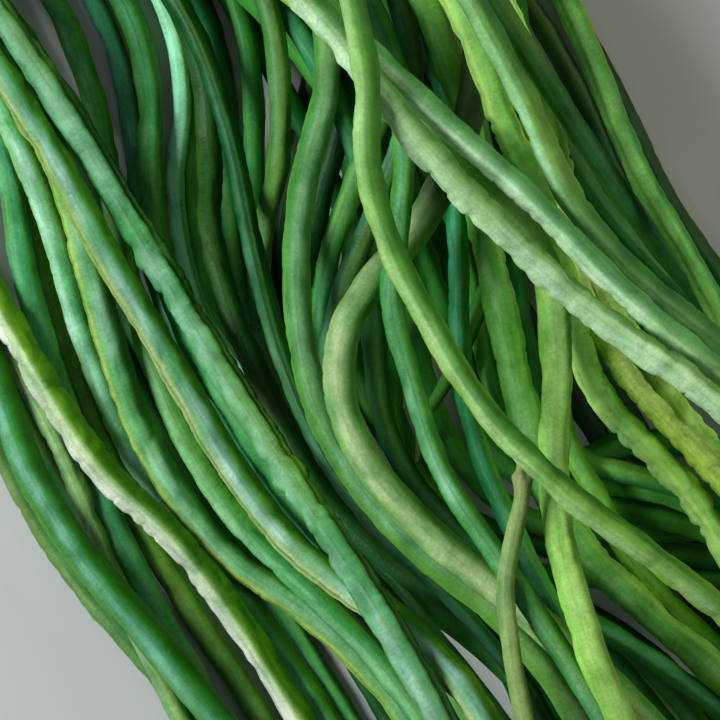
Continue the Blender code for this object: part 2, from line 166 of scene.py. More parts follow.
# Centres and radii of the rings of a pod's solid, from its stalk to its beak. A centre is the mean
# of its ring's points, and a radius is their mean distance from it. The right start is the point at
# the stalk's end from which all rings are whole.
def lineOf(node):
    points, triangles = mergedMesh(node)
    neighbours = [set() for _ in points]
    for a, b, c in triangles.tolist():
        neighbours[a] |= {b, c}
        neighbours[b] |= {a, c}
        neighbours[c] |= {a, b}
    for start in np.argsort(points[:, 0])[: reading["startTries"]].tolist():
        levels = levelsFrom(start, neighbours)
        whole = all(len(level) == reading["ringPoints"] for level in levels[1:-1])
        if whole and len(levels[-1]) == 1:
            break
    else:
        raise ValueError(node.name + " has no plain rings")
    centres = np.array([points[level].mean(axis=0) for level in levels])
    spokes = [np.linalg.norm(points[level] - at, axis=1) for level, at in zip(levels, centres)]
    return centres, np.array([spoke.mean() for spoke in spokes])


# The distance along a line at each of its points: the sum of its steps so far.
def distances(points):
    return np.concatenate([[0], np.cumsum(np.linalg.norm(np.diff(points, axis=0), axis=1))])


# A smooth line through the ring centres: on each span a cubic whose slopes at the rings are those
# of the parabola through each ring and its two neighbours. Radii are eased between rings by three
# times the square less twice the cube of the share of the span.
def smoothThrough(centres, radii):
    s = distances(centres)
    spans = np.diff(s)[:, None]
    chords = np.diff(centres, axis=0) / spans
    inner = (chords[:-1] * spans[1:] + chords[1:] * spans[:-1]) / (spans[1:] + spans[:-1])
    slopes = np.vstack([chords[:1], inner, chords[-1:]])
    where = np.linspace(0, s[-1], int(s[-1] / reading["step"]))
    i = np.clip(np.searchsorted(s, where, side="right") - 1, 0, len(s) - 2)
    h = (s[i + 1] - s[i])[:, None]
    t = ((where - s[i])[:, None]) / h
    line = (
        (2 * t**3 - 3 * t**2 + 1) * centres[i]
        + (t**3 - 2 * t**2 + t) * h * slopes[i]
        + (3 * t**2 - 2 * t**3) * centres[i + 1]
        + (t**3 - t**2) * h * slopes[i + 1]
    )
    eased = radii[i] + (radii[i + 1] - radii[i]) * (3 * t[:, 0] ** 2 - 2 * t[:, 0] ** 3)
    return line, eased


# Random values from -1 to 1 on a grid of cells along a pod and round it, eased between cells by
# three times the square less twice the cube. Without turns it varies only along the pod.
def smoothNoise(rng, along, cell, turns=None, cells=1):
    u = along / cell
    rows = rng.uniform(-1, 1, (int(u.max()) + 3, cells))
    i = np.floor(u).astype(int)
    t = u - i
    t = t * t * (3 - 2 * t)
    if turns is None:
        return rows[i, 0] * (1 - t) + rows[i + 1, 0] * t
    v = (turns % 1) * cells
    j = np.floor(v).astype(int) % cells
    w = v - np.floor(v)
    w = w * w * (3 - 2 * w)
    near = rows[i, j] * (1 - w) + rows[i, (j + 1) % cells] * w
    far = rows[i + 1, j] * (1 - w) + rows[i + 1, (j + 1) % cells] * w
    return near * (1 - t) + far * t


# Layers of noise, each with half the cell and half the strength of the one before, over the sum of
# their strengths.
def fractal(rng, along, cell, turns, cells, layers=2):
    total = smoothNoise(rng, along, cell, turns, cells)
    for layer in range(1, layers):
        finer = smoothNoise(rng, along, cell / 2**layer, turns, cells * 2**layer)
        total = total + 0.5**layer * finer
    return total / (2 - 0.5 ** (layers - 1))


# A bell: 1 at zero, and e to the power of minus the square of x over the width elsewhere.
def bump(x, width):
    return np.exp(-((x / width) ** 2))


# An angle brought to between minus and plus half a turn.
def wrapped(angle):
    return (angle + math.pi) % (2 * math.pi) - math.pi


# The first times one less the share, plus the second times the share.
def mix(a, b, share):
    share = np.clip(share, 0, 1)[..., None]
    return a * (1 - share) + b * share


# A colour in 8-bit steps as linear light: in proportion near black, and a power of 2.4 above.
def linear(colour):
    c = np.array(colour) / 255
    return np.where(c < 0.04045, c / 12.92, ((c + 0.055) / 1.055) ** 2.4)


# At each point of a line its direction, its upward side, and the side towards the picture's upper
# right, which is up crossed with the direction.
def frameAlong(line):
    ways = np.gradient(line, axis=0)
    ways /= np.linalg.norm(ways, axis=1)[:, None]
    sides = np.cross(np.array([0, 0, 1.0]), ways)
    sides /= np.linalg.norm(sides, axis=1)[:, None]
    return ways, np.cross(ways, sides), sides


# Rows of points along a pod, closer together where the camera sees it, and points round each row.
# Top pods are the numbers from "firstTopPod" to "lastTopPod". Rows are never further apart than
# "tipRows" near the stalk and the beak.
fineness = {
    "top": {"seen": 0.70 * mm, "unseen": 2.9 * mm, "around": 36},
    "low": {"seen": 1.3 * mm, "unseen": 3.4 * mm, "around": 20},
    "firstTopPod": 27,
    "lastTopPod": 58,
    "stalkTip": 22 * mm,
    "beakTip": 16 * mm,
    "tipRows": 1.2 * mm,
}


# Distances along a pod for its rows. The count of rows up to a place is the sum of the steps so
# far, each over the spacing wanted there, and the rows stand at its whole numbers.
def rowPlaces(line, pace):
    s = distances(line)
    x, y = turned(line[:, 0] - view["middle"][0], line[:, 1] - view["middle"][1], -view["turn"])
    seen = (np.abs(x) < view["seenHalfWidth"]) & (np.abs(y) < view["seenHalfHeight"])
    step = np.where(seen, pace["seen"], pace["unseen"])
    tip = (s < fineness["stalkTip"]) | (s > s[-1] - fineness["beakTip"])
    step = np.where(tip, np.minimum(step, fineness["tipRows"]), step)
    rows = np.concatenate([[0], np.cumsum(np.diff(s) / step[1:])])
    return np.interp(np.linspace(0, rows[-1], int(rows[-1])), rows, s), s


# Colours are in 8-bit steps of red, green and blue. "face" is the side of a pod to the lower left
# of its seam in the picture and "back" the side to the upper right of it; their tints are partly
# the pod's own two tones and partly painted light, paler on the side that the lamp lights. The
# flank tint is painted shade on the upper right edge, away from the lamp, "ridge" is the seam's
# lips, and the last tint is a painted sheen on the lit side.
tints = {
    "deep_green": {
        "face": (23, 109, 50), "back": (20, 101, 33), "shadedFlank": (18, 85, 2),
        "ridge": (58, 132, 52), "sheenTint": (63, 140, 103),
    },
    "fresh_green": {
        "face": (46, 142, 57), "back": (40, 134, 40), "shadedFlank": (42, 120, 0),
        "ridge": (102, 171, 65), "sheenTint": (105, 182, 138),
    },
    "pale_green": {
        "face": (83, 171, 78), "back": (73, 161, 59), "shadedFlank": (56, 134, 7),
        "ridge": (155, 204, 97), "sheenTint": (160, 213, 164),
    },
    "yellow_green": {
        "face": (100, 177, 50), "back": (90, 167, 33), "shadedFlank": (69, 138, 0),
        "ridge": (160, 204, 74), "sheenTint": (151, 203, 120),
    },
    "pale_stalk": {
        "face": (132, 173, 91), "back": (126, 163, 74), "shadedFlank": (100, 134, 42),
        "ridge": (153, 183, 112), "sheenTint": (175, 193, 128),
    },
}

# The plain pod. Angles are in degrees from the top of the pod, and those above zero lean to the
# picture's upper right. Lengths and heights are in millimetres.
plainPod = {
    "seam": None,  # angle of the seam at half the pod's length, or None for a random one
    "twist": 40.0,  # degrees that the seam turns along the whole pod
    "flat": 0.09,  # how much thinner the pod is across its faces than from seam to seam
    "corner": 1.80,  # 2 is a round section, and less has sharper corners
    "seamHeight": 0.20,
    "seamWidth": 0.22,  # radians from the middle of the seam to each lip
    "groove": 0.10,  # depth between the lips
    "seedSpacing": 15.0,
    "seedSwell": 0.05,  # share of the radius
    "puff": 0.35,  # height of the soft bulges of the skin
    "puffLength": 11.0,
    "wrinkle": 0.22,  # height of the folds and creases
    "wrinkleLength": 4.5,
    "scallop": 0.14,  # height of the waves along the seams
    "frill": 0.12,  # height of the notched bulges along both edges
    "yellow": 0.30,  # strength of the yellow patches
    "ripe": 0.0,  # above zero, yellow grows towards the beak and leaves the stalk
    "paleSeam": 0.30,
    # Painted sheen on the lit side: its strength, the angle of its middle, and its width in
    # degrees.
    "paintedSheen": 0.55,
    "sheenAt": -20.0,
    "sheenWidth": 42.0,
    "crisp": 6.0,  # how sharply the seam parts the face's colour from the back's
    "shade": 1.0,  # painted light and shade over the whole pod: above 1 lighter, below 1 darker
    "paintedDeepShade": 0.0,  # share of the pod, from its stalk, that lies in deep shade
}

# How each pod differs from the plain one, from the top of the heap down.
podLooks = {
    # pod_59 and pod_60 fill gaps low in the heap and are darkened with painted shade.
    "pod_60": {"paintedSheen": 0.1, "shade": 0.25},
    "pod_59": {"paintedSheen": 0.2, "shade": 0.6},
    "pod_58": {
        "seam": -4, "twist": 14, "flat": 0.14, "corner": 1.5, "paleSeam": 0.2, "paintedSheen": 0.8,
        "sheenAt": -52, "sheenWidth": 38, "face": (138, 196, 96), "back": (72, 150, 38),
        "shadedFlank": (46, 122, 0), "ridge": (128, 186, 74), "puff": 0.5, "sheenTint": (166, 212, 140),
        "yellow": 0.6, "ripe": 4, "crisp": 9, "groove": 0.4, "shade": 0.97,
    },
    "pod_57": {
        "seam": 28, "twist": 160, "scallop": 0.2, "paleSeam": 0.3, "paintedSheen": 1.0, "sheenAt": -34,
        "sheenWidth": 50, "face": (176, 216, 150), "back": (104, 174, 92), "shadedFlank": (80, 142, 50),
        "ridge": (170, 210, 140), "puff": 0.5, "puffLength": 7, "frill": 0.45, "crisp": 12,
        "sheenTint": (180, 220, 176), "shade": 1.1, "yellow": 0.2,
    },
    "pod_56": {
        "seam": -8, "twist": 6, "flat": 0.12, "corner": 1.45, "scallop": 0.25, "paleSeam": 0.0,
        "paintedSheen": 1.1, "sheenAt": -62, "sheenWidth": 48, "face": (172, 222, 166),
        "back": (94, 166, 96), "shadedFlank": (78, 148, 68), "sheenTint": (198, 228, 188), "frill": 0.28,
        "puff": 0.3, "shade": 1.15, "crisp": 14,
    },
    "pod_55": {
        "seam": -6, "twist": 6, "flat": 0.14, "corner": 1.3, "seamHeight": 0.1, "groove": 0.0,
        "paleSeam": 0.0, "puff": 0.5, "paintedSheen": 1.2, "sheenAt": -70, "sheenWidth": 42,
        "face": (182, 212, 152), "back": (104, 168, 30), "shadedFlank": (84, 154, 10),
        "sheenTint": (224, 234, 214), "scallop": 0.3, "frill": 0.28, "crisp": 16,
    },
    "pod_54": {
        "seam": 42, "twist": 6, "puff": 0.75, "puffLength": 9, "wrinkle": 0.55, "wrinkleLength": 5,
        "groove": 0.9, "face": (61, 148, 72), "back": (42, 120, 27), "shadedFlank": (32, 101, 9),
        "paintedSheen": 0.8, "sheenAt": -26, "sheenTint": (148, 203, 168), "ridge": (92, 160, 70),
        "seamHeight": 0.45, "seamWidth": 0.18,
    },
    "pod_53": {
        "seam": -60, "twist": 6, "seamHeight": 0.5, "groove": 0.8, "seamWidth": 0.24,
        "paleSeam": 1.3, "puff": 0.65, "puffLength": 12, "wrinkle": 0.3, "face": (116, 174, 76),
        "back": (68, 160, 71), "shadedFlank": (86, 159, 20), "ridge": (178, 208, 134), "paintedSheen": 0.9,
        "sheenAt": -10, "sheenWidth": 28, "sheenTint": (166, 216, 193), "shade": 0.95,
        "yellow": 0.6,
    },
    "pod_52": {
        "seam": -78, "puff": 0.2, "wrinkle": 0.1, "paintedSheen": 1.0, "sheenAt": -24, "sheenWidth": 28,
        "back": (42, 140, 30), "shadedFlank": (44, 124, 0), "sheenTint": (124, 198, 160), "shade": 0.8,
    },
    "pod_51": {
        "seam": -12, "twist": 8, "scallop": 0.3, "paintedSheen": 0.9, "sheenAt": -60, "sheenWidth": 45,
        "corner": 1.5, "face": (124, 188, 118), "back": (42, 114, 32), "shadedFlank": (36, 108, 20),
        "sheenTint": (156, 206, 160), "shade": 1.2,
    },
    "pod_50": {
        "seam": 48, "twist": 6, "seamHeight": 0.3, "puff": 0.4, "puffLength": 14, "wrinkle": 0.25,
        "scallop": 0.3, "face": (140, 200, 88), "back": (92, 158, 42), "shadedFlank": (60, 124, 0),
        "sheenTint": (168, 214, 132), "paintedSheen": 0.6, "sheenAt": 4, "shade": 1.15,
    },
    "pod_49": {
        "seam": -40, "scallop": 0.6, "puff": 0.8, "puffLength": 6, "wrinkle": 0.5,
        "wrinkleLength": 3.4, "face": (140, 190, 116), "back": (126, 182, 84),
        "shadedFlank": (98, 150, 40), "paleSeam": 1.0, "ridge": (176, 212, 104), "frill": 0.4,
        "shade": 2.1, "ripe": 2, "yellow": 0.5,
    },
    "pod_48": {
        "seam": -30, "twist": 8, "seamHeight": 0.35, "groove": 0.5, "scallop": 0.3, "wrinkle": 0.35,
        "puff": 0.5, "face": (104, 174, 92), "back": (98, 170, 78), "shadedFlank": (48, 116, 32),
        "shade": 1.5,
    },
    "pod_47": {
        "seam": 60, "puff": 0.2, "wrinkle": 0.25, "wrinkleLength": 3.0, "frill": 0.2,
        "shadedFlank": (72, 104, 22), "shade": 0.9,
    },
    "pod_46": {
        "seam": 30, "twist": 12, "flat": 0.12, "corner": 1.6, "paintedSheen": 0.8, "sheenAt": -14,
        "sheenWidth": 30, "face": (63, 154, 61), "back": (46, 134, 18), "shadedFlank": (40, 122, 0),
        "sheenTint": (129, 194, 146), "shade": 0.82,
    },
    "pod_45": {
        "seam": 105, "twist": 20, "puff": 0.3, "puffLength": 15, "wrinkle": 0.08,
        "face": (90, 175, 72), "shadedFlank": (72, 146, 34), "paintedSheen": 1.2, "sheenAt": -32,
        "sheenWidth": 54, "sheenTint": (188, 216, 150), "shade": 0.8, "yellow": 0.5, "paintedDeepShade": 0.41,
    },
    "pod_44": {
        "seam": 100, "puff": 0.25, "wrinkle": 0.12, "face": (70, 144, 54),
        "sheenTint": (138, 194, 144), "paintedSheen": 0.7, "sheenAt": 22, "shadedFlank": (72, 144, 40),
        "shade": 0.92,
    },
    "pod_43": {
        "seam": 0, "twist": 12, "seamHeight": 0.4, "groove": 0.6, "paintedSheen": 0.6, "sheenAt": -30,
        "sheenWidth": 26, "face": (24, 116, 44), "back": (26, 122, 36), "shadedFlank": (30, 110, 14),
        "shade": 0.6, "sheenTint": (100, 176, 140),
    },
    "pod_42": {
        "seam": 60, "paintedSheen": 0.7, "sheenAt": -40, "sheenTint": (140, 200, 150),
        "shadedFlank": (70, 140, 30), "shade": 1.15,
    },
    "pod_41": {
        "seam": -66, "paleSeam": 1.1, "ridge": (176, 208, 100), "back": (86, 173, 78),
        "shadedFlank": (62, 140, 26), "puff": 0.5, "paintedSheen": 0.7, "sheenAt": -6,
        "sheenTint": (148, 206, 166), "yellow": 0.5,
    },
    "pod_40": {
        "seam": -80, "puff": 0.4, "back": (80, 168, 92), "shadedFlank": (80, 146, 20), "paintedSheen": 1.1,
        "sheenAt": -40, "sheenWidth": 50, "sheenTint": (152, 206, 176), "shade": 1.2,
    },
    "pod_39": {
        "face": (40, 126, 52), "back": (22, 104, 24), "shadedFlank": (20, 96, 20), "seam": -40,
        "twist": 8, "paintedSheen": 0.3, "shade": 0.9,
    },
    "pod_38": {
        "seam": 50, "wrinkle": 0.35, "puff": 0.5, "scallop": 0.35, "face": (84, 158, 48),
        "back": (112, 174, 90), "shadedFlank": (96, 158, 62), "sheenTint": (156, 202, 148), "frill": 0.25,
        "shade": 1.4,
    },
    "pod_37": {
        "seam": -45, "scallop": 0.42, "wrinkle": 0.5, "puff": 0.5, "sheenTint": (153, 201, 148),
        "shade": 1.3,
    },
    "pod_36": {
        "seam": -30, "scallop": 0.6, "wrinkle": 0.7, "puff": 0.7, "puffLength": 6, "frill": 0.4,
        "paleSeam": 0.8, "face": (124, 164, 60), "back": (162, 192, 90), "shadedFlank": (156, 190, 90),
        "sheenTint": (190, 214, 130), "shade": 1.5, "yellow": 0.5,
    },
    "pod_35": {
        "seam": -20, "scallop": 0.6, "wrinkle": 0.7, "puff": 0.7, "puffLength": 6, "frill": 0.4,
        "paleSeam": 0.8, "face": (176, 210, 104), "back": (164, 206, 96), "shadedFlank": (140, 190, 80),
        "sheenTint": (200, 224, 150), "ridge": (206, 222, 128), "shade": 1.6,
    },
    "pod_34": {"paintedSheen": 0.6, "sheenAt": -50, "sheenTint": (120, 192, 152), "shade": 0.65},
    "pod_33": {
        "face": (24, 112, 34), "back": (20, 104, 24), "shadedFlank": (10, 90, 8),
        "sheenTint": (56, 140, 80), "paintedSheen": 0.4, "shade": 0.5,
    },
    "pod_32": {
        "seam": 30, "twist": 8, "back": (46, 140, 70), "face": (50, 142, 64),
        "sheenTint": (104, 180, 140), "shade": 1.1,
    },
    "pod_31": {
        "seam": 10, "wrinkle": 0.4, "wrinkleLength": 3.2, "puff": 0.5, "frill": 0.28,
        "face": (104, 146, 88), "back": (110, 154, 84), "shadedFlank": (92, 136, 64),
        "sheenTint": (160, 194, 146), "shade": 1.15,
    },
    "pod_30": {
        "face": (66, 146, 92), "back": (60, 140, 80), "shadedFlank": (72, 142, 64), "shade": 1.5,
        "sheenTint": (104, 176, 140),
    },
    "pod_29": {
        "seam": 0, "flat": 0.15, "corner": 1.6, "paintedSheen": 0.8, "shadedFlank": (60, 132, 40), "shade": 1.5,
    },
    "pod_28": {
        "seam": -10, "face": (58, 146, 82), "back": (36, 122, 50), "shadedFlank": (28, 112, 36),
        "shade": 0.95,
    },
    "pod_27": {"shade": 0.6},
    "pod_26": {
        "face": (26, 120, 48), "back": (46, 142, 84), "sheenTint": (96, 180, 140), "sheenAt": 10,
        "seam": -20, "twist": 8, "shade": 1.2,
    },
    "pod_25": {"face": (38, 128, 44), "back": (34, 118, 34), "paintedSheen": 0.3, "shade": 0.9},
    "pod_24": {
        "seam": 40, "twist": 8, "seamHeight": 0.35, "groove": 0.5, "face": (104, 184, 134),
        "back": (80, 160, 90), "shadedFlank": (70, 150, 70), "paintedSheen": 0.9, "sheenTint": (150, 208, 178),
        "shade": 1.8,
    },
    "pod_23": {"face": (84, 166, 82), "back": (76, 160, 68), "shadedFlank": (64, 146, 50), "shade": 1.6},
    "pod_22": {"shade": 1.3},
    "pod_21": {"face": (49, 142, 86), "back": (46, 136, 74), "sheenTint": (99, 178, 134)},
    "pod_20": {"shade": 0.4},
    "pod_19": {
        "seam": -50, "paleSeam": 1.0, "scallop": 0.5, "frill": 0.35, "ridge": (148, 191, 102),
        "shade": 0.6,
    },
    "pod_18": {"face": (96, 150, 60), "shade": 1.2},
    "pod_17": {
        "face": (70, 152, 116), "back": (64, 146, 104), "sheenTint": (110, 184, 152), "shade": 1.6,
    },
    "pod_16": {"face": (60, 142, 70), "back": (52, 134, 60), "shade": 1.5},
    "pod_15": {"face": (100, 180, 70), "back": (84, 168, 50), "shade": 1.3},
    "pod_14": {"face": (62, 158, 50), "back": (50, 146, 33)},
    "pod_13": {"face": (50, 148, 52), "back": (50, 142, 40), "shadedFlank": (70, 150, 40), "shade": 1.2},
    "pod_12": {"face": (40, 128, 46), "back": (40, 124, 31), "shade": 1.2},
    "pod_11": {"shade": 2.0},
    "pod_10": {"shade": 1.5},
    "pod_09": {"shade": 0.5},
    "pod_08": {"shade": 0.8},
    "pod_07": {"face": (40, 138, 76), "back": (36, 130, 60), "shade": 1.3},
    "pod_05": {"face": (80, 160, 90), "back": (90, 170, 80), "shade": 1.5},
    "pod_02": {"shade": 0.5},
    "pod_01": {"shade": 0.2},
}

# Random draws for each pod: an angle for its seam, and factors for its seeds' spacing and for a
# random tone over its painted light and shade. They start from "seed" plus the pod's number.
podSpread = {"seam": (-80, 80), "seedSpacing": (0.85, 1.2), "shade": (0.92, 1.08), "seed": 700}

# The form that all skins share. They keep the solid's round section up to "plainStalk", and take on
# their own form over "stalkEase". It fades over "beakEase" towards the beak. Folds and lips are
# full on pods of "fullRadius", and smaller on thinner ones.
podForm = {
    "plainStalk": 20 * mm,
    "stalkEase": 16 * mm,
    "beakEase": 30 * mm,
    "fullRadius": 4.2 * mm,
    "seamDrift": 7,  # degrees
    "lobes": 5,
    "calyxAt": 9.3 * mm,
    "calyxHalf": 2.4 * mm,
    "calyxHeight": 0.35 * mm,
    "stalkLength": 8 * mm,
    "stalkRibs": 0.10 * mm,
    "edges": ((-80, 1.0), (80, 0.7)),  # angle of each frilled edge, and its share of the frill
    "stalkCap": 0.25 * mm,
    "beakCap": 0.4 * mm,
}

# Lengths of the patterns along a pod, from one random value to the next.
patternLengths = {
    "seamDrift": 35 * mm,
    "seedShift": 30 * mm,
    "seedStrength": 24 * mm,
    "patches": 35 * mm,
    "scallop": 4.6 * mm,
    "notches": 5 * mm,
    "fineNotches": 3 * mm,
    "frills": 8 * mm,
    "flankEdge": 16 * mm,
    "sway": 25 * mm,
    "sheenPatches": 12 * mm,
    "mottle": 6 * mm,
    "streaks": 22 * mm,
    "paleSeam": 9 * mm,
    "yellow": 45 * mm,
}

# The colour that all skins share: how much each pattern lightens it, where seeds, puffs, folds and
# creases are painted light on rises and painted shade in hollows, the power that each channel gives
# to that, where the painted shade of the upper right edge begins and over how much it grows, and
# where the ends' tints fade.
podColour = {
    "stalkTint": (158, 164, 104),
    "beakTint": (150, 158, 84),
    "yellowing": (150, 184, 40),
    "mottle": 0.24,
    "streaks": 0.16,
    "seeds": 0.08,
    "puffs": 0.12,
    "folds": 0.30,
    "creases": 0.15,
    "powers": (1.4, 1.0, 1.3),
    "flankFrom": 0.30,
    "flankOver": 0.5,
    "flankShare": 1.1,
    "stalkFrom": 6 * mm,
    "endFade": 14 * mm,
    "beakShare": 0.7,
    "grooveShade": 0.6,
    "darkShade": 0.7,
    "darkFade": 0.03,
}


# Points and colours of a pod on a grid of rows along it and points round it. A point lies on its
# row's upward side times the cosine of its angle, plus the other side times the sine, all times the
# radius there with its section, swellings, wrinkles and seams.
def podSurface(line, radii, look, pace, rng):
    where, s = rowPlaces(line, pace)
    length = s[-1]
    lengths = patternLengths
    centre = np.column_stack([np.interp(where, s, column) for column in line.T])
    radius = np.interp(where, s, radii)
    ways, ups, sides = [
        np.column_stack([np.interp(where, s, column) for column in vectors.T])
        for vectors in frameAlong(line)
    ]
    angles = np.linspace(0, 2 * math.pi, pace["around"], endpoint=False)
    along, around = np.meshgrid(where, angles, indexing="ij")
    turns = around / (2 * math.pi)
    r = radius[:, None]
    fromStalk = np.clip((along - podForm["plainStalk"]) / podForm["stalkEase"], 0, 1)
    body = fromStalk * np.clip((length - along) / podForm["beakEase"], 0, 1)

    # The seam turns with the pod's twist and drifts a little.
    drift = smoothNoise(rng, along, lengths["seamDrift"])
    seamTurn = math.radians(look["seam"])
    seamTurn = seamTurn + math.radians(look["twist"]) * (along / length - 0.5)
    seamTurn = seamTurn + math.radians(podForm["seamDrift"]) * drift
    off = wrapped(around - seamTurn)
    offBack = wrapped(around - seamTurn - math.pi)

    # A rounded four-cornered section, a little thinner across its faces than from seam to seam.
    p = look["corner"]
    corners = (np.abs(np.cos(off)) ** p + np.abs(np.sin(off)) ** p) ** (-1 / p)
    section = 1 + body * (corners * (1 - look["flat"] * np.sin(off) ** 2) - 1)

    # Seeds swell both faces, at an uneven spacing.
    shift = 0.35 * smoothNoise(rng, along, lengths["seedShift"])
    phase = along / (look["seedSpacing"] * mm) + shift + rng.uniform(0, 1)
    seeds = np.cos(2 * math.pi * phase)
    strength = 0.7 + 0.5 * smoothNoise(rng, along, lengths["seedStrength"])
    swell = look["seedSwell"] * strength * seeds * (0.35 + 0.65 * np.sin(off) ** 2)

    # The skin puffs out between creases that run round the pod, and smaller folds are strongest
    # near its seams.
    patches = np.clip(0.8 + 0.7 * smoothNoise(rng, along, lengths["patches"]), 0.2, 1.4)
    puffs = 2 * np.abs(fractal(rng, along, look["puffLength"] * mm, turns, 4, 2)) ** 0.8 - 0.7
    fold = fractal(rng, along, look["wrinkleLength"] * mm, turns, 4, 2)
    creases = fractal(rng, along, look["wrinkleLength"] * mm, turns, 3, 2)
    creases = 0.6 - 2.4 * bump(creases, 0.12)
    nearSeam = 0.5 + 0.5 * (bump(off, 0.9) + bump(offBack, 0.9))
    folds = look["wrinkle"] * (0.7 * fold + 0.35 * creases) * nearSeam
    wrinkles = mm * patches * (look["puff"] * puffs + folds)

    # Each seam is two lips with a groove between them, and its lips may be scalloped.
    width = look["seamWidth"]
    scallop = smoothNoise(rng, along, lengths["scallop"])
    scallop = scallop + 0.5 * smoothNoise(rng, along, lengths["scallop"] / 2)
    lips = bump(off - width, 0.75 * width) + bump(off + width, 0.75 * width)
    edge = bump(off, 0.5)
    groove = bump(off, 0.55 * width)
    backLips = bump(offBack, 1.2 * width)
    heights = look["seamHeight"] * lips - look["groove"] * groove
    seams = mm * (heights + 0.6 * look["seamHeight"] * backLips)
    seams = seams + mm * look["scallop"] * scallop * (edge + 0.6 * bump(offBack, 0.5))

    # Both edges of a pod are frilled: small bulges with notches between them.
    for angle, height in podForm["edges"]:
        notches = smoothNoise(rng, along, lengths["notches"])
        notches = notches + 0.5 * smoothNoise(rng, along, lengths["fineNotches"])
        frills = 0.6 - 2.0 * bump(notches, 0.20) + smoothNoise(rng, along, lengths["frills"])
        place = bump(wrapped(around - math.radians(angle)), 0.65)
        seams = seams + height * mm * look["frill"] * frills * place

    # The calyx has lobes that fall off evenly to both sides, and the stalk has low ribs.
    small = r / podForm["fullRadius"]
    surface = r * section * (1 + body * swell) + body * small * (wrinkles + seams)
    crown = np.clip(1 - np.abs(along - podForm["calyxAt"]) / podForm["calyxHalf"], 0, 1)
    crown = crown * np.cos(podForm["lobes"] * around + 1.0)
    ribs = np.cos(podForm["lobes"] * around) * (along < podForm["stalkLength"])
    surface = surface + podForm["calyxHeight"] * crown + podForm["stalkRibs"] * ribs

    # Colour: two sides that are partly painted light, painted shade on the upper right edge away
    # from the lamp, and a painted sheen on the lit side.
    paints = ("face", "back", "shadedFlank", "ridge", "sheenTint")
    face, back, shadedFlank, ridge, paintedSheen = [linear(look[key]) for key in paints]
    colour = mix(face, back, 0.5 + 0.5 * np.tanh(look["crisp"] * np.sin(off)))
    # The upper right edge, away from the lamp, takes a painted shade.
    toShadedFlank = np.sin(around) + 0.18 * fractal(rng, along, lengths["flankEdge"], turns, 4, 2)
    toShadedFlank = np.clip((toShadedFlank - podColour["flankFrom"]) / podColour["flankOver"], 0, 1)
    colour = mix(colour, shadedFlank, podColour["flankShare"] * toShadedFlank)
    sway = 0.30 * smoothNoise(rng, along, lengths["sway"])
    top = wrapped(around - math.radians(look["sheenAt"]) - sway)
    patchy = 0.75 * fractal(rng, along, lengths["sheenPatches"], turns, 6, 3)
    patchy = 0.72 + patchy + 0.25 * puffs
    sheenWidth = math.radians(look["sheenWidth"])
    colour = mix(colour, paintedSheen, look["paintedSheen"] * patchy * bump(top, sheenWidth))

    # Patches and streaks vary the tone at random; seeds, bulges and folds are painted light where
    # they rise and painted shade where they sink.
    mottle = fractal(rng, along, lengths["mottle"], turns, 7, 3)
    streaks = fractal(rng, along, lengths["streaks"], turns, 18, 2)
    toneAndPaintedShade = 1 + podColour["mottle"] * mottle + podColour["streaks"] * streaks
    toneAndPaintedShade = toneAndPaintedShade + podColour["seeds"] * seeds * body + podColour["puffs"] * body * puffs
    relief = podColour["folds"] * fold + podColour["creases"] * creases
    toneAndPaintedShade = toneAndPaintedShade + body * look["wrinkle"] * relief * nearSeam
    powers = np.array(podColour["powers"])
    colour = colour * np.clip(toneAndPaintedShade, 0.4, 1.8)[..., None] ** powers

    # The lips are pale, the groove between them has painted shade, and yellow patches lie over all
    # of it.
    uneven = 0.8 + 0.4 * smoothNoise(rng, along, lengths["paleSeam"])
    pale = look["paleSeam"] * uneven * body
    colour = mix(colour, ridge, pale * np.clip(lips + 0.35 * edge, 0, 1) * (1 - 0.8 * groove))
    colour = mix(colour, ridge, 0.5 * pale * backLips)
    paintedGrooveShade = podColour["grooveShade"] * np.clip(look["groove"], 0, 1) * groove * body
    colour = colour * (1 - paintedGrooveShade)[..., None]
    yellow = 1.2 * fractal(rng, along, lengths["yellow"], turns, 4, 2)
    yellow = yellow + look["ripe"] * (along / length - 0.5)
    colour = mix(colour, linear(podColour["yellowing"]), look["yellow"] * np.clip(yellow, 0, 1))

    # The ends have tints of their own, the whole pod takes its painted light and shade, and a
    # painted deep shade on the stalk side fades out over a small share of the pod.
    stalk = np.clip(1 - (along - podColour["stalkFrom"]) / podColour["endFade"], 0, 1)
    beak = np.clip(1 - (length - along) / podColour["endFade"], 0, 1) * podColour["beakShare"]
    colour = mix(colour, linear(podColour["stalkTint"]), stalk)
    colour = mix(colour, linear(podColour["beakTint"]), beak)
    paintedDeepShade = np.clip((look["paintedDeepShade"] - along / length) / podColour["darkFade"], 0, 1)
    colour = colour * look["shade"] * (1 - podColour["darkShade"] * paintedDeepShade)[..., None]

    upward = np.cos(around)[..., None] * ups[:, None]
    across = upward + np.sin(around)[..., None] * sides[:, None]
    points = centre[:, None] + surface[..., None] * across
    points[..., 2] = np.maximum(points[..., 2], 0)
    return points, colour, along, turns, ways


# Quads between the rows, and a fan at each end. The two end points come after the grid.
def gridFaces(rows, around):
    i, j = np.meshgrid(np.arange(rows - 1), np.arange(around), indexing="ij")
    nextJ = (j + 1) % around
    here, further = i * around, (i + 1) * around
    quads = np.stack([here + j, further + j, further + nextJ, here + nextJ], -1)
    ring = np.arange(around)
    nextRing = (ring + 1) % around
    last = (rows - 1) * around
    stalkFan = np.column_stack([np.full(around, rows * around), ring, nextRing])
    beakFan = np.column_stack([np.full(around, rows * around + 1), last + nextRing, last + ring])
    return [*quads.reshape(-1, 4).tolist(), *stalkFan.tolist(), *beakFan.tolist()]


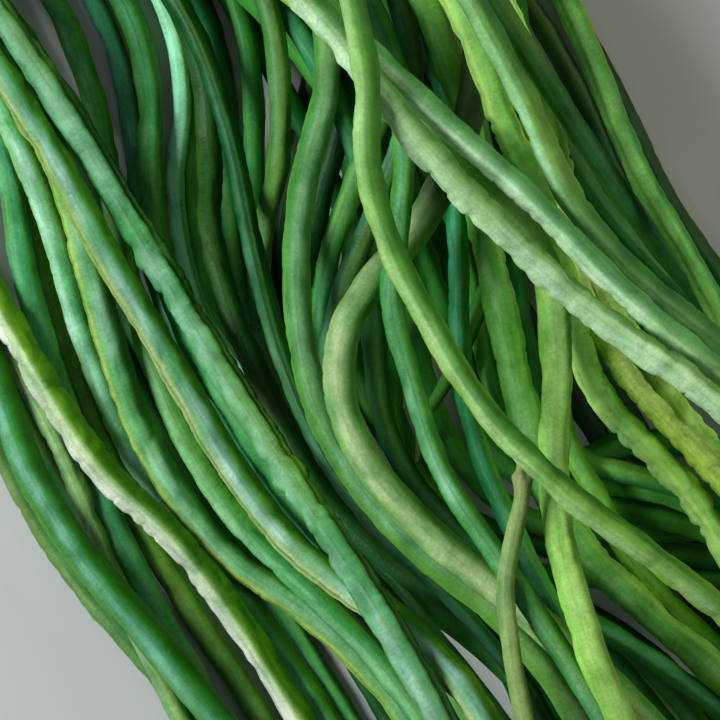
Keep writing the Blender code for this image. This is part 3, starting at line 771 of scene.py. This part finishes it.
# A pod's settings: the plain ones, then its tint's, then its own. Higher pods get more painted
# sheen, in proportion to their number, since lower ones lie in shade.
def lookOf(node, slot, number, rng):
    own = podLooks.get(node.name, {})
    look = {**plainPod, **tints[slot], **own}
    if look["seam"] is None:
        look["seam"] = rng.uniform(*podSpread["seam"])
    for key in ("seedSpacing", "shade"):
        look[key] = look[key] * rng.uniform(*podSpread[key])
    if "paintedSheen" not in own:
        look["paintedSheen"] = look["paintedSheen"] * (0.1 + 0.7 * number / fineness["lastTopPod"])
    return look


# One pod's skin over its solid's line, with its colours on its points and a map that is millimetres
# along the pod by turns round it.
def makePod(node, slot, material):
    centres, radii = lineOf(node)
    number = int(node.name[-2:])
    rng = np.random.default_rng(podSpread["seed"] + number)
    look = lookOf(node, slot, number, rng)
    high = fineness["firstTopPod"] <= number <= fineness["lastTopPod"]
    pace = fineness["top" if high else "low"]
    line, lineRadii = smoothThrough(centres[1:-1], radii[1:-1])
    points, colour, along, turns, ways = podSurface(line, lineRadii, look, pace, rng)
    rows, around = along.shape
    stalkEnd = points[0].mean(axis=0) - podForm["stalkCap"] * ways[0]
    beakEnd = points[-1].mean(axis=0) + podForm["beakCap"] * ways[-1]
    ends = np.array([stalkEnd, beakEnd])
    ends[:, 2] = np.maximum(ends[:, 2], 0)
    allPoints = np.vstack([points.reshape(-1, 3), ends])
    mesh = bpy.data.meshes.new(node.name + "_skin")
    mesh.from_pydata(allPoints.tolist(), [], gridFaces(rows, around))
    paint = np.ones((len(allPoints), 4))
    paint[:-2, :3] = colour.reshape(-1, 3)
    paint[-2, :3] = linear(podColour["stalkTint"])
    paint[-1, :3] = linear(podColour["beakTint"])
    skin = mesh.attributes.new("skin", "FLOAT_COLOR", "POINT")
    skin.data.foreach_set("color", paint.astype(np.float32).ravel())
    uv = np.zeros((len(allPoints), 2))
    uv[:-2, 0] = along.ravel() / mm
    uv[:-2, 1] = turns.ravel()
    uv[-1, 0] = along.max() / mm
    corners = np.empty(len(mesh.loops), int)
    mesh.loops.foreach_get("vertex_index", corners)
    uvMap = mesh.uv_layers.new(name="UVMap")
    uvMap.data.foreach_set("uv", uv[corners].astype(np.float32).ravel())
    mesh.shade_smooth()
    mesh.materials.append(material)
    pod = bpy.data.objects.new(node.name + "_skin", mesh)
    bpy.context.scene.collection.objects.link(pod)
    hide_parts(node.name)
    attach(pod, "root")
    return pod


# A shader value. Sums and products of such values become the nodes that work them out.
class Socket:
    def __init__(self, tree, value):
        self.tree = tree
        self.value = value

    def node(self, kind, settings=None, inputs=None, output=0):
        made = self.tree.nodes.new(kind)
        for key, value in (settings or {}).items():
            setattr(made, key, value)
        for key, value in (inputs or {}).items():
            link = value.value if isinstance(value, Socket) else value
            if isinstance(link, bpy.types.NodeSocket):
                self.tree.links.new(link, made.inputs[key])
            else:
                made.inputs[key].default_value = link
        return Socket(self.tree, made.outputs[output])

    def calc(self, operation, other, swapped=False):
        pair = (other, self) if swapped else (self, other)
        return self.node("ShaderNodeMath", {"operation": operation}, {0: pair[0], 1: pair[1]})

    def __add__(self, other):
        return self.calc("ADD", other)

    def __radd__(self, other):
        return self.calc("ADD", other, True)

    def __mul__(self, other):
        return self.calc("MULTIPLY", other)

    def __rmul__(self, other):
        return self.calc("MULTIPLY", other, True)


# The skin's fine pattern. Fibres and hatching are stretched on the pod's own map, pores and clouds
# are patterns in space. Then each noise's share of the colour, the roughness and the relief.
skinFinish = {
    "stretched": {"fibres": ((0.16, 34.0, 1.0), 3.0), "hatching": ((1.1, 9.0, 1.0), 2.0)},
    "spatial": {"pores": (1300.0, 2.0), "clouds": (260.0, 3.0)},
    "colour": {"plain": 0.26, "fibres": 0.25, "hatching": 0.28, "pores": 0.50, "clouds": 0.45},
    "roughness": {"plain": 0.36, "clouds": 0.16, "pores": 0.06},
    "relief": {"plain": 0.0, "pores": 0.30, "fibres": 0.20, "hatching": 0.40, "clouds": 0.60},
    "specular": 0.2,
    "bumpStrength": 0.6,
    "bumpDistance": 0.4 * mm,
}


# The plain value plus each noise times its share.
def blend(shares, noises):
    parts = [noises[name] * share for name, share in shares.items() if name != "plain"]
    return sum(parts, shares["plain"])


# The pod's own colour times the blend of noises, with a bump of another blend.
def makeSkin(slot):
    skin = bpy.data.materials.new(slot)
    skin.use_nodes = True
    tree = skin.node_tree
    shader = tree.nodes["Principled BSDF"]
    start = Socket(tree, None)
    place = start.node("ShaderNodeTexCoord", output="Object")
    uv = start.node("ShaderNodeUVMap", {"uv_map": "UVMap"})
    tint = start.node("ShaderNodeAttribute", {"attribute_name": "skin"}, output="Color")
    vector, noise, flat = "ShaderNodeVectorMath", "ShaderNodeTexNoise", {"noise_dimensions": "2D"}
    noises = {}
    for name, (stretch, detail) in skinFinish["stretched"].items():
        drawn = start.node(vector, {"operation": "MULTIPLY"}, {0: uv, 1: stretch})
        noises[name] = start.node(noise, flat, {"Vector": drawn, "Scale": 1.0, "Detail": detail})
    for name, (scale, detail) in skinFinish["spatial"].items():
        noises[name] = start.node(noise, {}, {"Vector": place, "Scale": scale, "Detail": detail})
    level = blend(skinFinish["colour"], noises)
    colour = start.node(vector, {"operation": "SCALE"}, {0: tint, "Scale": level})
    tree.links.new(colour.value, shader.inputs["Base Color"])
    rough = blend(skinFinish["roughness"], noises)
    tree.links.new(rough.value, shader.inputs["Roughness"])
    shader.inputs["Specular IOR Level"].default_value = skinFinish["specular"]
    bumps = {
        "Strength": skinFinish["bumpStrength"],
        "Distance": skinFinish["bumpDistance"],
        "Height": blend(skinFinish["relief"], noises),
    }
    relief = start.node("ShaderNodeBump", {}, bumps)
    tree.links.new(relief.value, shader.inputs["Normal"])
    return skin


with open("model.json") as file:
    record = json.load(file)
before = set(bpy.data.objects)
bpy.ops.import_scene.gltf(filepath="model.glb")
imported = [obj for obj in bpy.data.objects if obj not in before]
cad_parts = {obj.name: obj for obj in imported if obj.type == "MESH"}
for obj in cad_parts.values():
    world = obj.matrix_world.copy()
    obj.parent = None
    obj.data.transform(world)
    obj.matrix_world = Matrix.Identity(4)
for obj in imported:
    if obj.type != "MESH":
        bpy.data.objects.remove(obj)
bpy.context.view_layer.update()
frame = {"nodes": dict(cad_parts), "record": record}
stage("camera, floor and lights")
makeCamera()
makeFloor()
makeLights()
slots = {part["node"]: part["material_slot"] for part in frame["record"]["subparts"]}
skins = {slot: makeSkin(slot) for slot in tints}
stage("pods")
total = 0
for podName in sorted(frame["nodes"]):
    pod = makePod(frame["nodes"][podName], slots[podName], skins[slots[podName]])
    total += sum(len(polygon.vertices) - 2 for polygon in pod.data.polygons)
stage(f"{total} triangles")
